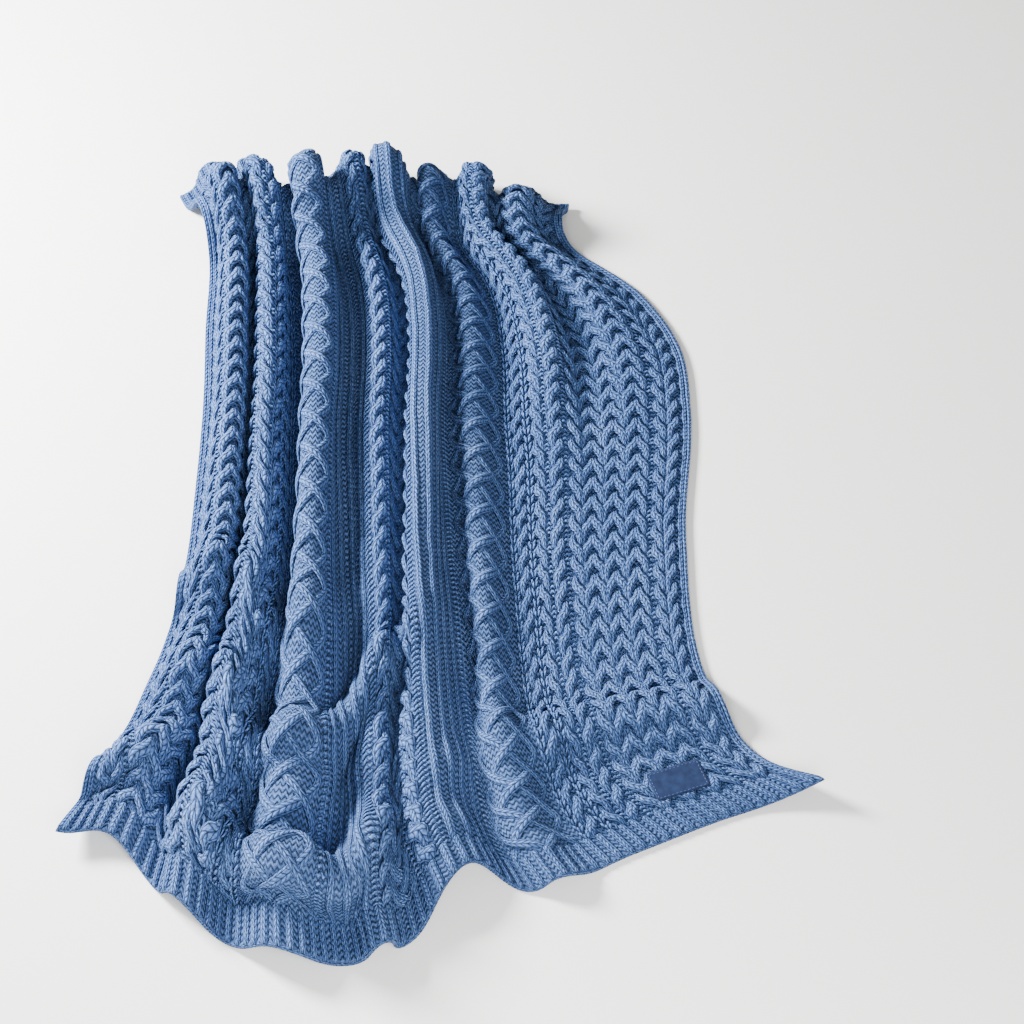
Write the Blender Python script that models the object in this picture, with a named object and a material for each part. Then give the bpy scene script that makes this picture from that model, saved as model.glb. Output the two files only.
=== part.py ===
"""Cable knit throw blanket, laid out on the floor in long soft folds.

Metres, +Z up. The near hem faces -Y, the far end is gathered, and the flat corner with the
sewn patch is at +X. The origin is on the floor, at the middle of the blanket's outline.
"""

import math
from collections import namedtuple

import bmesh
import bpy
import numpy as np
from mathutils import Matrix, Vector

# The cloth as knitted, before it was laid down
WIDTH = 1.27
LENGTH = 1.52
GROUND = 0.005
CABLE_RISE = 0.004
HEM_LENGTH = 0.058
HEM_RIB_RISE = 0.0016

# Where the two selvedges lie on the floor. Each row is a share of the way from the near hem to
# the far one, with the left and right selvedge's place, how far the row bows towards -Y, and how
# much of its cloth the cross folds take up.
Station = namedtuple("Station", "share left_x left_y right_x right_y bow taken")
STATIONS = [
    Station(0.000, -0.505, -0.510, 0.545, -0.430, 0.105, 0.03),
    Station(0.085, -0.462, -0.410, 0.452, -0.362, 0.090, 0.13),
    Station(0.178, -0.415, -0.305, 0.398, -0.248, 0.065, 0.19),
    Station(0.352, -0.362, -0.095, 0.380, 0.005, 0.022, 0.16),
    Station(0.526, -0.348, 0.135, 0.400, 0.250, 0.000, 0.06),
    Station(0.624, -0.346, 0.270, 0.392, 0.378, 0.000, 0.02),
    Station(0.726, -0.350, 0.410, 0.338, 0.492, 0.000, 0.02),
    Station(0.867, -0.356, 0.595, 0.218, 0.610, -0.012, 0.02),
    Station(1.000, -0.408, 0.715, 0.226, 0.690, -0.040, 0.00),
]

# The middle of the blanket's outline, in the stations' own coordinates
MIDDLE = (0.0202, 0.0350)

# How far the near hem waves in and out of that line, at shares of the way across, and the share
# of the blanket's length over which the wave dies away.
Wave = namedtuple("Wave", "share forward")
HEM_WAVES = [
    Wave(0.00, 0.000),
    Wave(0.07, -0.025),
    Wave(0.15, 0.050),
    Wave(0.25, 0.105),
    Wave(0.37, 0.120),
    Wave(0.47, 0.080),
    Wave(0.535, -0.005),
    Wave(0.61, 0.035),
    Wave(0.75, 0.012),
    Wave(0.88, -0.004),
    Wave(1.00, 0.000),
]
WAVE_REACH = 0.60

# The same at the far hem, further out being positive
FAR_WAVES = [
    Wave(0.00, 0.000),
    Wave(0.14, 0.016),
    Wave(0.30, -0.010),
    Wave(0.44, 0.030),
    Wave(0.60, 0.004),
    Wave(0.72, 0.022),
    Wave(0.88, -0.010),
    Wave(1.00, 0.000),
]
FAR_REACH = 0.30

# The corners that curl up off the floor
Curl = namedtuple("Curl", "across along reach height")
CURLS = [
    Curl(WIDTH, 0.0, 0.120, 0.034),
    Curl(0.0, 0.0, 0.150, 0.030),
    Curl(WIDTH, LENGTH, 0.110, 0.008),
]

# The long folds, from the left selvedge. Centre and width are measured across the cloth, and
# drift is how far the fold wanders over the cloth's length. The depths say how much of the slack
# each takes at five places from the near hem to the far one, and lean is positive where the fold
# falls over towards -X.
Fold = namedtuple("Fold", "centre width lean drift near low middle high far")
FOLDS = [
    Fold(0.080, 0.148, -0.12, 0.010, 0.30, 0.60, 0.86, 0.92, 0.84),
    Fold(0.232, 0.150, 0.22, 0.020, 0.65, 0.80, 1.00, 1.08, 0.92),
    Fold(0.415, 0.204, 0.18, 0.034, 0.45, 0.62, 1.05, 1.00, 1.10),
    Fold(0.578, 0.116, -0.14, 0.036, 0.85, 0.74, 0.62, 0.72, 0.80),
    Fold(0.735, 0.190, 0.24, 0.030, 0.50, 0.70, 1.10, 1.04, 0.86),
    Fold(0.890, 0.116, 0.20, 0.010, 0.50, 0.70, 0.64, 0.78, 0.72),
    Fold(1.030, 0.150, -0.14, 0.000, 0.00, 0.00, 0.16, 0.84, 0.90),
    Fold(1.180, 0.136, 0.15, 0.000, 0.00, 0.00, 0.00, 0.50, 0.66),
]
DEPTH_SHARES = (0.0, 0.20, 0.50, 0.80, 1.0)

# The cross folds where the near end is heaped up. Along is measured from the near hem on the
# left selvedge, and slant is how far it moves on for each metre across the cloth. Lean is
# positive where the fold falls over towards the near hem.
Tuck = namedtuple("Tuck", "along slant width degrees lean begins full fades ends")
TUCKS = [
    Tuck(0.160, 0.00, 0.220, 100.0, 0.20, 0.14, 0.30, 0.44, 0.66),
    Tuck(0.135, 0.36, 0.150, 60.0, 0.10, -0.40, -0.10, 0.04, 0.20),
    Tuck(0.350, 0.14, 0.150, 68.0, 0.12, -0.05, 0.28, 0.52, 0.84),
    Tuck(0.545, 0.10, 0.150, 46.0, -0.10, -0.30, -0.10, 0.16, 0.64),
    Tuck(0.318, -0.08, 0.150, 36.0, -0.20, 0.72, 0.98, 1.50, 1.80),
    Tuck(1.352, 0.02, 0.270, 58.0, -0.10, -0.60, 0.25, 0.60, 1.70),
]

# The knitted panels from either selvedge to the middle: how wide, how many raised cables or
# ribs stand side by side, and what share of the full rise they have.
Panel = namedtuple("Panel", "width ridges rise")
PANELS = [
    Panel(0.014, 1, 0.55),
    Panel(0.006, 0, 0.0),
    Panel(0.042, 2, 1.0),
    Panel(0.008, 0, 0.0),
    Panel(0.140, 7, 1.0),
    Panel(0.010, 0, 0.0),
    Panel(0.022, 1, 1.0),
    Panel(0.008, 0, 0.0),
    Panel(0.054, 2, 1.0),
    Panel(0.010, 0, 0.0),
    Panel(0.140, 3, 0.9),
    Panel(0.010, 0, 0.0),
    Panel(0.096, 2, 0.6),
    Panel(0.010, 0, 0.0),
]
MIDDLE_PANEL = Panel(0.130, 3, 1.0)

# Rows of the solid's faces between the hems, closer together where the cross folds are
RowRun = namedtuple("RowRun", "ends rows")
ROW_RUNS = [
    RowRun(0.400, 14),
    RowRun(0.640, 5),
    RowRun(LENGTH - HEM_LENGTH, 8),
]
HEM_STEP = 0.006

# The sewn patch: its size, and its place from the right selvedge and the near hem
PATCH_WIDTH = 0.078
PATCH_DEPTH = 0.046
PATCH_THICK = 0.0015
PATCH_ACROSS = WIDTH - 0.140
PATCH_ALONG = 0.100
SEAT_GAP = 0.0003

# The back lies on the floor wherever it comes this near
SETTLED = 0.0004

# How finely the folds are worked out before the solid's points are read from them
FINE_STEPS = 508
TUCK_STEPS = 608
FINE_ROWS = 77
SOLVE_STEPS = 22
GRID_ACROSS = 254
GRID_ALONG = 304
SOFTENINGS = 6
DEEPEST = math.radians(128.0)
OVERHANG = math.radians(103.0)


def curve_through(knots, values, at):
    """A smooth curve through the values at the knots, read at the given places."""
    knots = np.asarray(knots, float)
    values = np.asarray(values, float)
    slopes = np.gradient(values, knots)
    i = np.clip(np.searchsorted(knots, at, side="right") - 1, 0, len(knots) - 2)
    span = knots[i + 1] - knots[i]
    t = (at - knots[i]) / span
    start = (1 + 2 * t) * (1 - t) ** 2 * values[i] + t * (1 - t) ** 2 * span * slopes[i]
    end = t * t * (3 - 2 * t) * values[i + 1] + t * t * (t - 1) * span * slopes[i + 1]
    return start + end


def ease(t):
    t = np.clip(t, 0.0, 1.0)
    return t * t * (3.0 - 2.0 * t)


HALF_TURN = np.sin((np.arange(60) + 0.5) * math.pi / 60)


def lift_of(steepest):
    """The mean rise of a slope that swells to this angle and dies away again."""
    return np.sin(np.multiply.outer(steepest, HALF_TURN)).mean(axis=-1)


def fold_angles(t, steepest, lean):
    """The cloth's slope through one fold, t from 0 to 1. It comes back down to where it began."""
    up = min(steepest * (1 + lean), OVERHANG)
    down = min(steepest * (1 - lean), OVERHANG)
    lift_up, lift_down = lift_of(up), lift_of(down)
    turn = lift_down / (lift_up + lift_down)
    rising = up * np.sin(math.pi * np.clip(t / turn, 0, 1))
    falling = -down * np.sin(math.pi * np.clip((t - turn) / (1 - turn), 0, 1))
    return np.where(t < turn, rising, falling)


def running(slopes, step, axis):
    """Distance covered level and upwards at each fine sample, from the slopes between them."""
    level = np.cumsum(np.cos(slopes), axis=axis) * step
    rise = np.cumsum(np.sin(slopes), axis=axis) * step
    pad = [(0, 0)] * slopes.ndim
    pad[axis] = (1, 0)
    return np.pad(level, pad), np.pad(rise, pad)


def row_across(share, reach):
    """One row of the cloth, from selvedge to selvedge, with its folds as deep as takes it to
    the given reach: level distance and height at each fine sample."""
    step = WIDTH / FINE_STEPS
    across = (np.arange(FINE_STEPS) + 0.5) * step
    depths = [curve_through(DEPTH_SHARES, fold[4:], share) for fold in FOLDS]

    def slopes(deepest):
        total = np.zeros(FINE_STEPS)
        for fold, depth in zip(FOLDS, depths):
            centre = fold.centre + fold.drift * (share - 0.5)
            t = (across - centre) / fold.width + 0.5
            steepest = max(deepest * max(depth, 0.0), 1e-4)
            inside = (t > 0) & (t < 1)
            total[inside] += fold_angles(t[inside], steepest, fold.lean)
        return total

    shallow, deep = 0.0, DEEPEST
    for _ in range(SOLVE_STEPS):
        deepest = (shallow + deep) / 2
        if np.cos(slopes(deepest)).sum() * step > reach:
            shallow = deepest
        else:
            deep = deepest
    return running(slopes(deepest), step, 0)


def long_folds(shares):
    """The folded rows at these shares of the way: level distance and height, row by row."""
    station = {n: [getattr(s, n) for s in STATIONS] for n in Station._fields}
    level, height = [], []
    for share in shares:
        ends = [curve_through(station["share"], station[n], share) for n in Station._fields[1:5]]
        straight = math.hypot(ends[2] - ends[0], ends[3] - ends[1])
        bow = curve_through(station["share"], station["bow"], share)
        taken = curve_through(station["share"], station["taken"], share)
        x, z = row_across(share, straight + (math.pi * bow) ** 2 / (4 * straight) + taken)
        level.append(x / x[-1])
        height.append(z)
    return np.array(level), np.array(height)


def cross_folds(across, along):
    """The cloth's way along its length at each column: the share of the level distance that is
    behind each point, and how high the cross folds lift it."""
    step = LENGTH / TUCK_STEPS
    fine = (np.arange(TUCK_STEPS) + 0.5) * step
    slopes = np.zeros((len(across), TUCK_STEPS))
    for tuck in TUCKS:
        here = ease((across - tuck.begins) / (tuck.full - tuck.begins))
        here = here * (1 - ease((across - tuck.fades) / (tuck.ends - tuck.fades)))
        for i, strength in enumerate(here):
            centre = tuck.along + tuck.slant * across[i]
            t = (fine - centre) / tuck.width + 0.5
            inside = (t > 0) & (t < 1)
            steepest = max(math.radians(tuck.degrees) * strength, 1e-4)
            slopes[i, inside] += fold_angles(t[inside], steepest, tuck.lean)
    level, rise = running(slopes, step, 1)
    grid = np.arange(TUCK_STEPS + 1) * step
    share = np.array([np.interp(along, grid, row / row[-1]) for row in level])
    lift = np.array([np.interp(along, grid, row) for row in rise])
    return share, np.maximum(lift, 0.0)


def bilinear(table, row, column):
    """Reads a table between its rows and columns, at fractional places."""
    i = np.clip(row.astype(int), 0, table.shape[0] - 2)
    j = np.clip(column.astype(int), 0, table.shape[1] - 2)
    a, b = row - i, column - j
    top = table[i, j] * (1 - b) + table[i, j + 1] * b
    bottom = table[i + 1, j] * (1 - b) + table[i + 1, j + 1] * b
    return top * (1 - a) + bottom * a


def curled(across, along):
    """How far the curling corners lift each point."""
    lift = np.zeros((len(across), len(along)))
    for curl in CURLS:
        away = np.hypot(across[:, None] - curl.across, along[None, :] - curl.along)
        lift += curl.height * np.clip(1 - away / curl.reach, 0, 1) ** 2
    return lift


def draped():
    """The middle of the cloth's thickness as it lies, on an even grid: columns across the cloth,
    then rows along it."""
    across = np.linspace(0, WIDTH, GRID_ACROSS + 1)
    along = np.linspace(0, LENGTH, GRID_ALONG + 1)
    level, height = long_folds(np.linspace(0, 1, FINE_ROWS))
    share, lift = cross_folds(across, along)
    row = share * (FINE_ROWS - 1)
    column = np.broadcast_to((across / WIDTH * FINE_STEPS)[:, None], share.shape)
    t = bilinear(level, row, column)
    station = {n: [getattr(s, n) for s in STATIONS] for n in Station._fields}
    left_x, left_y, right_x, right_y, bow = (
        curve_through(station["share"], station[n], share) for n in Station._fields[1:6]
    )
    fading = np.clip(1 - share / WAVE_REACH, 0, 1) ** 1.3
    wave = curve_through([w.share for w in HEM_WAVES], [w.forward for w in HEM_WAVES], t)
    far_fading = np.clip(1 - (1 - share) / FAR_REACH, 0, 1) ** 1.3
    far_wave = curve_through([w.share for w in FAR_WAVES], [w.forward for w in FAR_WAVES], t)
    x = left_x + (right_x - left_x) * t
    y = left_y + (right_y - left_y) * t - bow * np.sin(math.pi * t**0.85)
    y = y - wave * fading + far_wave * far_fading
    z = bilinear(height, row, column) + lift + curled(across, along) + GROUND / 2
    points = np.stack([x, y, z], axis=-1) - np.array([*MIDDLE, 0.0])
    for _ in range(SOFTENINGS):
        points = softened(softened(points, 0), 1)
    return points


def softened(points, axis):
    """Each point moved towards the middle of its two neighbours, as thick yarn rounds a crease."""
    p = np.moveaxis(points, axis, 0)
    p = np.concatenate([2 * p[:1] - p[1:2], p, 2 * p[-1:] - p[-2:-1]])
    return np.moveaxis((p[:-2] + 2 * p[1:-1] + p[2:]) / 4, 0, axis)


def lay_out(across, along):
    """The middle of the cloth's thickness for each column across and row along: an array of
    points, columns first."""
    column, row = np.meshgrid(
        across / WIDTH * GRID_ACROSS, along / LENGTH * GRID_ALONG, indexing="ij"
    )
    cloth = draped()
    return np.stack([bilinear(cloth[..., i], column, row) for i in range(3)], axis=-1)


def columns():
    """Where the solid's column lines run across the cloth, and each one's share of the rise:
    every cable's crest and the dips on both sides of it."""
    lines, rises = [0.0], [0.0]
    layout = PANELS + [MIDDLE_PANEL] + PANELS[::-1]
    for panel in layout:
        start = lines[-1]
        for i in range(2 * panel.ridges or 1):
            crest = panel.ridges and i % 2 == 0
            lines.append(start + panel.width * (i + 1) / (2 * panel.ridges or 1))
            rises.append(panel.rise if crest else 0.0)
    return np.array(lines), np.array(rises)


def rows():
    """Where the solid's row lines run, from the near hem's edge to the far one's."""
    lines = [0.0, HEM_LENGTH - HEM_STEP, HEM_LENGTH]
    for run in ROW_RUNS:
        lines.extend(np.linspace(lines[-1], run.ends, run.rows + 1)[1:])
    return np.array(lines + [LENGTH - HEM_LENGTH + HEM_STEP, LENGTH])


def facing(points):
    """The direction in which the cloth's face looks at each point."""
    across = np.gradient(points, axis=0)
    along = np.gradient(points, axis=1)
    out = np.cross(across, along)
    return out / np.linalg.norm(out, axis=-1, keepdims=True)


def cable_rise(rises, along):
    """How far the face stands above the ground: cables in the field, low ribs in the hems."""
    ribs = HEM_RIB_RISE * (np.arange(len(rises)) % 2)
    from_end = np.minimum(along, LENGTH - along)
    field = (from_end > HEM_LENGTH - 0.001)[None, :]
    return np.where(field, (rises * CABLE_RISE)[:, None], ribs[:, None])


def make_material(name, colour, roughness):
    material = bpy.data.materials.new(name)
    material.use_nodes = True
    shader = material.node_tree.nodes["Principled BSDF"]
    shader.inputs["Base Color"].default_value = (*colour, 1.0)
    shader.inputs["Roughness"].default_value = roughness
    shader.inputs["Metallic"].default_value = 0.0
    return material


def add_object(name, mesh, material):
    mesh.materials.append(material)
    piece = bpy.data.objects.new(name, mesh)
    bpy.context.scene.collection.objects.link(piece)
    return piece


def knit_cloth():
    """The one-piece knit: a face with raised cables, a back, and the edge between them."""
    across, rises = columns()
    along = rows()
    middle = lay_out(across, along)
    out = facing(middle)
    top = middle + out * (GROUND / 2 + cable_rise(rises, along))[..., None]
    back = middle - out * (GROUND / 2)
    back[..., 2] = np.where(back[..., 2] < SETTLED, 0.0, back[..., 2])
    wide, long = len(across), len(along)
    cloth = bmesh.new()
    face_points = [[cloth.verts.new(p) for p in line] for line in top]
    back_points = [[cloth.verts.new(p) for p in line] for line in back]
    for i in range(wide - 1):
        for j in range(long - 1):
            ring = [(i, j), (i + 1, j), (i + 1, j + 1), (i, j + 1)]
            cloth.faces.new([face_points[a][b] for a, b in ring])
            cloth.faces.new([back_points[a][b] for a, b in reversed(ring)])
    edge = [(i, 0) for i in range(wide)]
    edge += [(wide - 1, j) for j in range(1, long)]
    edge += [(i, long - 1) for i in range(wide - 2, -1, -1)]
    edge += [(0, j) for j in range(long - 2, 0, -1)]
    for (a, b), (c, d) in zip(edge, edge[1:] + edge[:1]):
        cloth.faces.new(
            [face_points[c][d], face_points[a][b], back_points[a][b], back_points[c][d]]
        )
    bmesh.ops.triangulate(cloth, faces=cloth.faces)
    mesh = bpy.data.meshes.new("blanket")
    cloth.to_mesh(mesh)
    cloth.free()
    return mesh


def patch_plate():
    """The small sewn patch, a thin plate resting on the cables by the flat near corner."""
    across = PATCH_ACROSS + np.array([-PATCH_WIDTH / 4, 0.0, PATCH_WIDTH / 4])
    along = PATCH_ALONG + np.array([-PATCH_DEPTH / 4, 0.0, PATCH_DEPTH / 4])
    near = lay_out(across, along)
    place = Vector(near[1, 1])
    place.z += GROUND / 2 + CABLE_RISE + SEAT_GAP + PATCH_THICK / 2
    sideways = Vector(near[2, 1] - near[0, 1])
    turn = math.atan2(sideways.y, sideways.x)
    plate = bmesh.new()
    size = Matrix.Diagonal((PATCH_WIDTH, PATCH_DEPTH, PATCH_THICK, 1.0))
    where = Matrix.Translation(place) @ Matrix.Rotation(turn, 4, "Z") @ size
    bmesh.ops.create_cube(plate, size=1.0, matrix=where)
    mesh = bpy.data.meshes.new("label_patch")
    plate.to_mesh(mesh)
    plate.free()
    return mesh


def main():
    for piece in list(bpy.data.objects):
        bpy.data.objects.remove(piece)
    yarn = make_material("blue knit yarn", (0.17, 0.28, 0.56), 0.9)
    suede = make_material("dark blue suede", (0.045, 0.09, 0.20), 0.8)
    add_object("blanket", knit_cloth(), yarn)
    add_object("label_patch", patch_plate(), suede)


main()
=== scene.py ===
# %% [markdown]
# # A cable knit throw blanket
#
# The real thing is one rectangle of heavy knitting in a soft blue marled yarn, 1.27 m by 1.52 m.
# Cables, a lattice and a plait stand up from a purl ground, both ends have ribbed hems, and a
# small suede patch is sewn on near one corner. Here it lies on the floor in long soft folds.

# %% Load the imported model
import math
from collections import namedtuple

import bpy
import numpy as np
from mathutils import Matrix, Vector


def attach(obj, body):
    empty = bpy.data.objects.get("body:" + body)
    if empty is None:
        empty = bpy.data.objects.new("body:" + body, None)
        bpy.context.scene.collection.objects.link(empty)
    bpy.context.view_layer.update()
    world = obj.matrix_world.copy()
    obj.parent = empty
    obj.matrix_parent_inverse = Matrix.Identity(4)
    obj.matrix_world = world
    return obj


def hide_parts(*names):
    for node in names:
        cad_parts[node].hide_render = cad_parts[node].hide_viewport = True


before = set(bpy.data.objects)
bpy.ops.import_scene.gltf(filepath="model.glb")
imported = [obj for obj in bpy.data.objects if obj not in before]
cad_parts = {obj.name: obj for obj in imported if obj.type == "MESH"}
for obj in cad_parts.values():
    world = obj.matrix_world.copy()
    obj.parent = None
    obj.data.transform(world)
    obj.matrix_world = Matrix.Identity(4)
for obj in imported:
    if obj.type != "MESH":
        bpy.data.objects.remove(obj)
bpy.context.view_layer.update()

# %% [markdown]
# ## How the cloth lies
#
# A knitted throw keeps its size: a fold takes up cloth, it doesn't stretch it. So the drape is
# worked out the way the cloth would do it. The two selvedges get a place on the floor, and the
# slack between them is taken up by eight long folds, each as deep as the slack there asks for.
# Shorter cross folds heap up the near end. A cloth simulation gives other folds in other places,
# so these are placed one by one, with the same tables as the solids.

# %% The sizes and the tables of folds
# The cloth as knitted, before it was laid down
WIDTH = 1.27
LENGTH = 1.52
GROUND = 0.005
CABLE_RISE = 0.004
HEM_LENGTH = 0.058

# Where the two selvedges lie on the floor. Each row is a share of the way from the near hem to
# the far one, with the left and right selvedge's place, how far the row bows towards -Y, and how
# much of its cloth the cross folds take up.
Station = namedtuple("Station", "share left_x left_y right_x right_y bow taken")
STATIONS = [
    Station(0.000, -0.505, -0.510, 0.545, -0.430, 0.105, 0.03),
    Station(0.085, -0.462, -0.410, 0.452, -0.362, 0.090, 0.13),
    Station(0.178, -0.415, -0.305, 0.398, -0.248, 0.065, 0.19),
    Station(0.352, -0.362, -0.095, 0.380, 0.005, 0.022, 0.16),
    Station(0.526, -0.348, 0.135, 0.400, 0.250, 0.000, 0.06),
    Station(0.624, -0.346, 0.270, 0.392, 0.378, 0.000, 0.02),
    Station(0.726, -0.350, 0.410, 0.338, 0.492, 0.000, 0.02),
    Station(0.867, -0.356, 0.595, 0.218, 0.610, -0.012, 0.02),
    Station(1.000, -0.408, 0.715, 0.226, 0.690, -0.040, 0.00),
]

# The middle of the blanket's outline, in the stations' own coordinates
MIDDLE = (0.0202, 0.0350)

# How far the near hem waves in and out of that line, at shares of the way across, and the share
# of the blanket's length over which the wave dies away.
HEM_WAVES = {
    0.00: 0.000, 0.07: -0.025, 0.15: 0.050, 0.25: 0.105, 0.37: 0.120, 0.47: 0.080,
    0.535: -0.005, 0.61: 0.035, 0.75: 0.012, 0.88: -0.004, 1.00: 0.000,
}
WAVE_REACH = 0.60

# The same at the far hem, further out being positive
FAR_WAVES = {
    0.00: 0.000, 0.14: 0.016, 0.30: -0.010, 0.44: 0.030,
    0.60: 0.004, 0.72: 0.022, 0.88: -0.010, 1.00: 0.000,
}
FAR_REACH = 0.30

# How steeply both waves die away. A bowed row is fullest a little to the left of its middle.
WAVE_FADE = 1.3
BOW_SKEW = 0.85

# The corners that curl up off the floor
Curl = namedtuple("Curl", "across along reach height")
CURLS = [
    Curl(WIDTH, 0.0, 0.120, 0.034),
    Curl(0.0, 0.0, 0.150, 0.030),
    Curl(WIDTH, LENGTH, 0.110, 0.008),
]

# The long folds, from the left selvedge. Centre and width are measured across the cloth, and
# drift is how far the fold wanders over the cloth's length. The depths say how much of the slack
# each takes at five places from the near hem to the far one, and lean is positive where the fold
# falls over towards -X.
Fold = namedtuple("Fold", "centre width lean drift near low middle high far")
FOLDS = [
    Fold(0.080, 0.148, -0.12, 0.010, 0.30, 0.60, 0.86, 0.92, 0.84),
    Fold(0.232, 0.150, 0.22, 0.020, 0.65, 0.80, 1.00, 1.08, 0.92),
    Fold(0.415, 0.204, 0.18, 0.034, 0.45, 0.62, 1.05, 1.00, 1.10),
    Fold(0.578, 0.116, -0.14, 0.036, 0.85, 0.74, 0.62, 0.72, 0.80),
    Fold(0.735, 0.190, 0.24, 0.030, 0.50, 0.70, 1.10, 1.04, 0.86),
    Fold(0.890, 0.116, 0.20, 0.010, 0.50, 0.70, 0.64, 0.78, 0.72),
    Fold(1.030, 0.150, -0.14, 0.000, 0.00, 0.00, 0.16, 0.84, 0.90),
    Fold(1.180, 0.136, 0.15, 0.000, 0.00, 0.00, 0.00, 0.50, 0.66),
]
DEPTH_SHARES = (0.0, 0.20, 0.50, 0.80, 1.0)

# The cross folds where the near end is heaped up. Along is measured from the near hem on the
# left selvedge, and slant is how far it moves on for each metre across the cloth. Lean is
# positive where the fold falls over towards the near hem.
Tuck = namedtuple("Tuck", "along slant width degrees lean begins full fades ends")
TUCKS = [
    Tuck(0.160, 0.00, 0.220, 100.0, 0.20, 0.14, 0.30, 0.44, 0.66),
    Tuck(0.135, 0.36, 0.150, 60.0, 0.10, -0.40, -0.10, 0.04, 0.20),
    Tuck(0.350, 0.14, 0.150, 68.0, 0.12, -0.05, 0.28, 0.52, 0.84),
    Tuck(0.545, 0.10, 0.150, 46.0, -0.10, -0.30, -0.10, 0.16, 0.64),
    Tuck(0.318, -0.08, 0.150, 36.0, -0.20, 0.72, 0.98, 1.50, 1.80),
    Tuck(1.352, 0.02, 0.270, 58.0, -0.10, -0.60, 0.25, 0.60, 1.70),
]

# The sewn patch: its size, and its place from the right selvedge and the near hem
PATCH_WIDTH = 0.078
PATCH_DEPTH = 0.046
PATCH_THICK = 0.0015
PATCH_ACROSS = WIDTH - 0.140
PATCH_ALONG = 0.100
SEAT_GAP = 0.0003

# The back lies on the floor wherever it comes this near
SETTLED = 0.0004

# How finely the folds are worked out before the even grid is read from them
FINE_STEPS = 508
TUCK_STEPS = 608
FINE_ROWS = 77
SOLVE_STEPS = 22
GRID_ACROSS = 254
GRID_ALONG = 304
SOFTENINGS = 6
LIFT_STEPS = 60

# The deepest fold that is tried, the steepest slope that the cloth takes, which hangs over a
# little, and a slope so small that the cloth is flat
DEEPEST = math.radians(128.0)
OVERHANG = math.radians(103.0)
LEAST_SLOPE = 1e-4

# %% [markdown]
# ## From the tables to a surface
#
# These functions turn the tables into points. One works out a row from selvedge to selvedge, one
# the way along each column, and `draped` joins both on an even grid of 5 mm. Last, every point
# moves a little towards its neighbours, because thick yarn can't crease sharply.

# %% Work out the drape
def curve_through(knots, values, at):
    """A smooth curve through the values at the knots, read at the given places."""
    knots = np.asarray(knots, float)
    values = np.asarray(values, float)
    slopes = np.gradient(values, knots)
    i = np.clip(np.searchsorted(knots, at, side="right") - 1, 0, len(knots) - 2)
    span = knots[i + 1] - knots[i]
    t = (at - knots[i]) / span
    start = (1 + 2 * t) * (1 - t) ** 2 * values[i] + t * (1 - t) ** 2 * span * slopes[i]
    end = t * t * (3 - 2 * t) * values[i + 1] + t * t * (t - 1) * span * slopes[i + 1]
    return start + end

def ease(t):
    """A smooth step from nought to one."""
    t = np.clip(t, 0.0, 1.0)
    return t * t * (3.0 - 2.0 * t)

HALF_TURN = np.sin((np.arange(LIFT_STEPS) + 0.5) * math.pi / LIFT_STEPS)

def lift_of(steepest):
    """The mean rise of a slope that swells to this angle and dies away again."""
    return np.sin(np.multiply.outer(steepest, HALF_TURN)).mean(axis=-1)

def fold_angles(t, steepest, lean):
    """The cloth's slope through one fold, t from 0 to 1. It comes back down to where it began."""
    up = min(steepest * (1 + lean), OVERHANG)
    down = min(steepest * (1 - lean), OVERHANG)
    lift_up, lift_down = lift_of(up), lift_of(down)
    turn = lift_down / (lift_up + lift_down)
    rising = up * np.sin(math.pi * np.clip(t / turn, 0, 1))
    falling = -down * np.sin(math.pi * np.clip((t - turn) / (1 - turn), 0, 1))
    return np.where(t < turn, rising, falling)

def running(slopes, step, axis):
    """Distance covered level and upwards at each fine sample, from the slopes between them."""
    level = np.cumsum(np.cos(slopes), axis=axis) * step
    rise = np.cumsum(np.sin(slopes), axis=axis) * step
    pad = [(0, 0)] * slopes.ndim
    pad[axis] = (1, 0)
    return np.pad(level, pad), np.pad(rise, pad)

def row_across(share, reach):
    """One row of the cloth, from selvedge to selvedge, with its folds as deep as takes it to
    the given reach: level distance and height at each fine sample."""
    step = WIDTH / FINE_STEPS
    across = (np.arange(FINE_STEPS) + 0.5) * step
    depths = [curve_through(DEPTH_SHARES, fold[4:], share) for fold in FOLDS]

    def slopes(deepest):
        total = np.zeros(FINE_STEPS)
        for fold, depth in zip(FOLDS, depths):
            centre = fold.centre + fold.drift * (share - 0.5)
            t = (across - centre) / fold.width + 0.5
            steepest = max(deepest * max(depth, 0.0), LEAST_SLOPE)
            inside = (t > 0) & (t < 1)
            total[inside] += fold_angles(t[inside], steepest, fold.lean)
        return total

    shallow, deep = 0.0, DEEPEST
    for _ in range(SOLVE_STEPS):
        deepest = (shallow + deep) / 2
        if np.cos(slopes(deepest)).sum() * step > reach:
            shallow = deepest
        else:
            deep = deepest
    return running(slopes(deepest), step, 0)

def station_at(name, share):
    """One value of the stations, at any share of the way."""
    return curve_through([s.share for s in STATIONS], [getattr(s, name) for s in STATIONS], share)

def long_folds(shares):
    """The folded rows at these shares of the way: level distance and height, row by row."""
    level, height = [], []
    for share in shares:
        left_x, left_y, right_x, right_y = (station_at(n, share) for n in Station._fields[1:5])
        straight = math.hypot(right_x - left_x, right_y - left_y)
        bowed = (math.pi * station_at("bow", share)) ** 2 / (4 * straight)
        x, z = row_across(share, straight + bowed + station_at("taken", share))
        level.append(x / x[-1])
        height.append(z)
    return np.array(level), np.array(height)

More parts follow.
